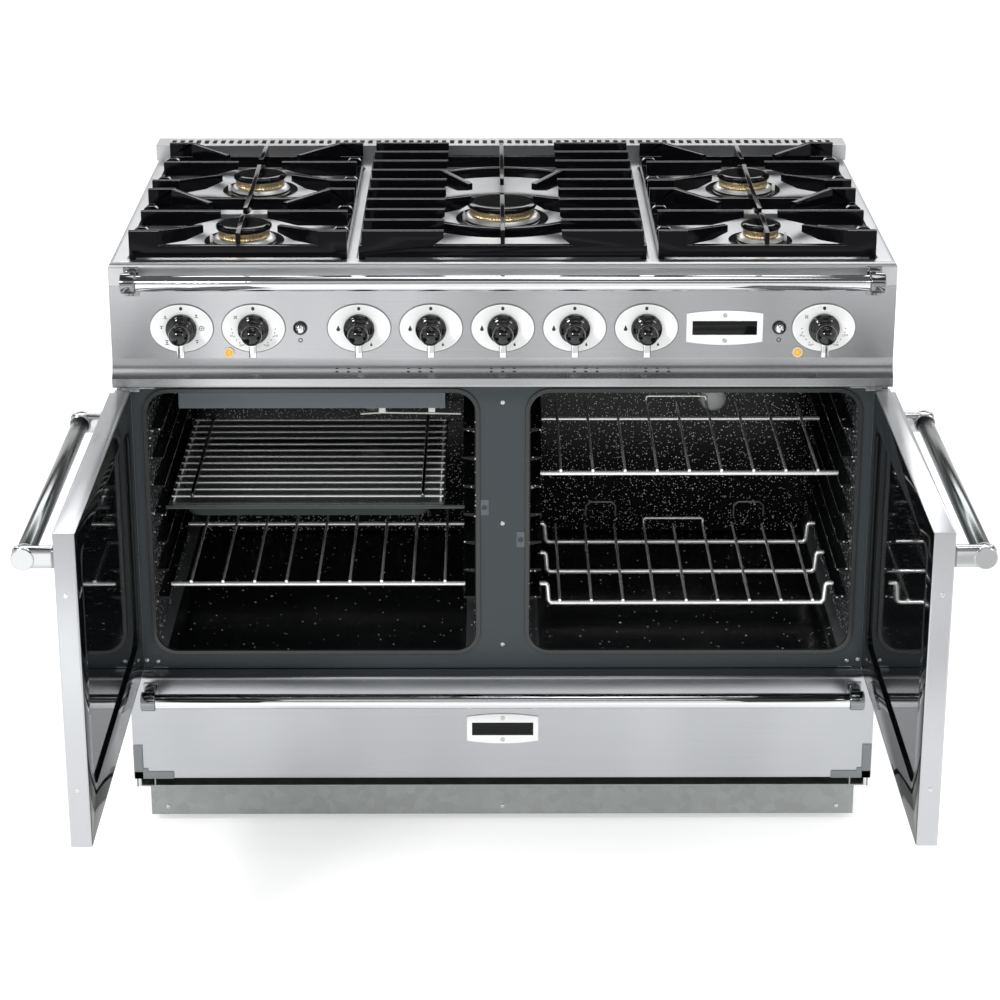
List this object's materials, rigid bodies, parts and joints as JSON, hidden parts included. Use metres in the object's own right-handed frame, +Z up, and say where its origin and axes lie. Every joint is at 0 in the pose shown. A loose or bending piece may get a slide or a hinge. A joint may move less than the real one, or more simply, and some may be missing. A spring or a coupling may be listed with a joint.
{
  "type": "dual fuel range cooker",
  "caption": "Wide free-standing cooker with a gas hob, two side-hung ovens with a grill, a control panel, a storage drawer and a recessed plinth.",
  "frame": {"origin": "on the floor, midway between the back of the cooker and the free ends of its open doors, at the middle of its width", "axes": "+X to the right seen from the front, +Y to the back, +Z up"},
  "size_m": [1.22, 1.131, 0.94],
  "materials": {
    "galvanised_steel": "dull galvanised sheet",
    "brushed_stainless": "stainless brushed side to side",
    "satin_stainless": "fine satin stainless",
    "satin_bezel": "fine satin plate",
    "polished_bar": "polished bar",
    "bright_steel": "bright sheet steel",
    "bright_wire": "bright plated wire",
    "cast_aluminium": "bead-blasted cast aluminium",
    "brass": "turned brass",
    "zinc_pipe": "zinc-plated steel",
    "element_metal": "dark heater sheath",
    "cast_iron": "gloss black enamel on cast iron",
    "black_enamel": "gloss black enamel",
    "charcoal_enamel": "semi-gloss charcoal enamel",
    "speckled_enamel": "black enamel with white specks",
    "seal_rubber": "black door seal",
    "door_glass": "dark tinted glass",
    "lamp_glass": "clear lamp dome",
    "amber_lens": "amber neon lens",
    "knob_plastic": "gloss black knob",
    "button_plastic": "gloss black button"
  },
  "bodies": {
    "cooker": {"casing_panels": "galvanised_steel", "base_tray": "galvanised_steel", "plinth": "galvanised_steel", "hob_tray": "brushed_stainless", "vent_strip": "brushed_stainless", "control_panel": "brushed_stainless", "knob_bezels": "satin_bezel", "front_rail": "polished_bar", "burner_bases": "cast_aluminium", "burner_rings": "brass", "burner_caps": "black_enamel", "gas_supply": "zinc_pipe", "taps_and_switches": "cast_aluminium", "oven_fascia": "charcoal_enamel", "left_oven_liner": "speckled_enamel", "right_oven_liner": "speckled_enamel", "door_seals": "seal_rubber", "shelf_supports": "speckled_enamel", "grill_element": "element_metal", "grill_deflector": "bright_steel", "oven_back_panels": "speckled_enamel", "fan_motors": "zinc_pipe", "fan_elements": "element_metal", "oven_lamps": "lamp_glass", "latch_catches": "bright_steel", "hinge_brackets": "bright_steel", "neon_lamps": "amber_lens", "levelling_feet": "galvanised_steel", "terminal_box": "galvanised_steel"},
    "left_door": {"left_door_skin": "satin_stainless", "left_door_liner": "black_enamel", "left_door_glass": "door_glass", "left_door_handle": "polished_bar"},
    "right_door": {"right_door_skin": "satin_stainless", "right_door_liner": "black_enamel", "right_door_glass": "door_glass", "right_door_handle": "polished_bar"},
    "drawer": {"drawer_front": "satin_stainless", "drawer_box": "galvanised_steel", "drawer_handle": "polished_bar"},
    "left_shelf": {"left_oven_shelf": "bright_wire"},
    "upper_shelf": {"right_upper_shelf": "bright_wire"},
    "dropped_shelf": {"right_dropped_shelf": "bright_wire"},
    "grill_tray": {"grill_pan": "black_enamel", "grill_trivet": "bright_wire"},
    "left_support": {"left_pan_support": "cast_iron"},
    "centre_support": {"centre_pan_support": "cast_iron"},
    "right_support": {"right_pan_support": "cast_iron"},
    "left_fan": {"left_oven_fan": "bright_steel"},
    "right_fan": {"right_oven_fan": "bright_steel"},
    "grill_function_control": {"grill_function_knob": "knob_plastic"},
    "left_oven_control": {"left_oven_knob": "knob_plastic"},
    "left_front_burner_control": {"left_front_burner_knob": "knob_plastic"},
    "left_rear_burner_control": {"left_rear_burner_knob": "knob_plastic"},
    "centre_burner_control": {"centre_burner_knob": "knob_plastic"},
    "right_rear_burner_control": {"right_rear_burner_knob": "knob_plastic"},
    "right_front_burner_control": {"right_front_burner_knob": "knob_plastic"},
    "right_oven_control": {"right_oven_knob": "knob_plastic"},
    "ignition_push": {"ignition_button": "button_plastic"},
    "light_push": {"oven_light_button": "button_plastic"}
  },
  "joints": [
    {"name": "left_door_hinge", "type": "hinge", "parent": "cooker", "child": "left_door", "pos_m": [-0.5325, -0.0365, 0.49], "axis": [0, 0, -1], "range_deg": [-90, 5]},
    {"name": "right_door_hinge", "type": "hinge", "parent": "cooker", "child": "right_door", "pos_m": [0.5325, -0.0365, 0.49], "axis": [0, 0, 1], "range_deg": [-90, 5]},
    {"name": "drawer_slide", "type": "slide", "parent": "cooker", "child": "drawer", "axis": [0, -1, 0], "range_m": [0, 0.35]},
    {"name": "grill_function_turn", "type": "hinge", "parent": "cooker", "child": "grill_function_control", "pos_m": [-0.447, -0.0665, 0.806], "axis": [0, -1, 0], "range_deg": [-300, 0]},
    {"name": "left_oven_turn", "type": "hinge", "parent": "cooker", "child": "left_oven_control", "pos_m": [-0.347, -0.0665, 0.806], "axis": [0, -1, 0], "range_deg": [-300, 0]},
    {"name": "left_front_burner_turn", "type": "hinge", "parent": "cooker", "child": "left_front_burner_control", "pos_m": [-0.2, -0.0665, 0.806], "axis": [0, -1, 0], "range_deg": [0, 225]},
    {"name": "left_rear_burner_turn", "type": "hinge", "parent": "cooker", "child": "left_rear_burner_control", "pos_m": [-0.1, -0.0665, 0.806], "axis": [0, -1, 0], "range_deg": [0, 225]},
    {"name": "centre_burner_turn", "type": "hinge", "parent": "cooker", "child": "centre_burner_control", "pos_m": [0, -0.0665, 0.806], "axis": [0, -1, 0], "range_deg": [0, 225]},
    {"name": "right_rear_burner_turn", "type": "hinge", "parent": "cooker", "child": "right_rear_burner_control", "pos_m": [0.1, -0.0665, 0.806], "axis": [0, -1, 0], "range_deg": [0, 225]},
    {"name": "right_front_burner_turn", "type": "hinge", "parent": "cooker", "child": "right_front_burner_control", "pos_m": [0.2, -0.0665, 0.806], "axis": [0, -1, 0], "range_deg": [0, 225]},
    {"name": "right_oven_turn", "type": "hinge", "parent": "cooker", "child": "right_oven_control", "pos_m": [0.447, -0.0665, 0.806], "axis": [0, -1, 0], "range_deg": [-300, 0]},
    {"name": "ignition_press", "type": "slide", "parent": "cooker", "child": "ignition_push", "axis": [0, 1, 0], "range_m": [0, 0.003], "stiffness_N_per_m": 600},
    {"name": "light_press", "type": "slide", "parent": "cooker", "child": "light_push", "axis": [0, 1, 0], "range_m": [0, 0.003], "stiffness_N_per_m": 600},
    {"name": "left_shelf_slide", "type": "slide", "parent": "cooker", "child": "left_shelf", "axis": [0, -1, 0], "range_m": [0, 0.25]},
    {"name": "upper_shelf_slide", "type": "slide", "parent": "cooker", "child": "upper_shelf", "axis": [0, -1, 0], "range_m": [0, 0.25]},
    {"name": "dropped_shelf_slide", "type": "slide", "parent": "cooker", "child": "dropped_shelf", "axis": [0, -1, 0], "range_m": [0, 0.25]},
    {"name": "grill_tray_slide", "type": "slide", "parent": "cooker", "child": "grill_tray", "axis": [0, -1, 0], "range_m": [0, 0.25]},
    {"name": "left_support_lift", "type": "slide", "parent": "cooker", "child": "left_support", "axis": [0, 0, 1], "range_m": [0, 0.08]},
    {"name": "centre_support_lift", "type": "slide", "parent": "cooker", "child": "centre_support", "axis": [0, 0, 1], "range_m": [0, 0.08]},
    {"name": "right_support_lift", "type": "slide", "parent": "cooker", "child": "right_support", "axis": [0, 0, 1], "range_m": [0, 0.08]},
    {"name": "left_fan_spin", "type": "hinge", "parent": "cooker", "child": "left_fan", "pos_m": [-0.272, 0.4, 0.604], "axis": [0, 1, 0], "continuous": true},
    {"name": "right_fan_spin", "type": "hinge", "parent": "cooker", "child": "right_fan", "pos_m": [0.272, 0.4, 0.604], "axis": [0, 1, 0], "continuous": true}
  ]
}
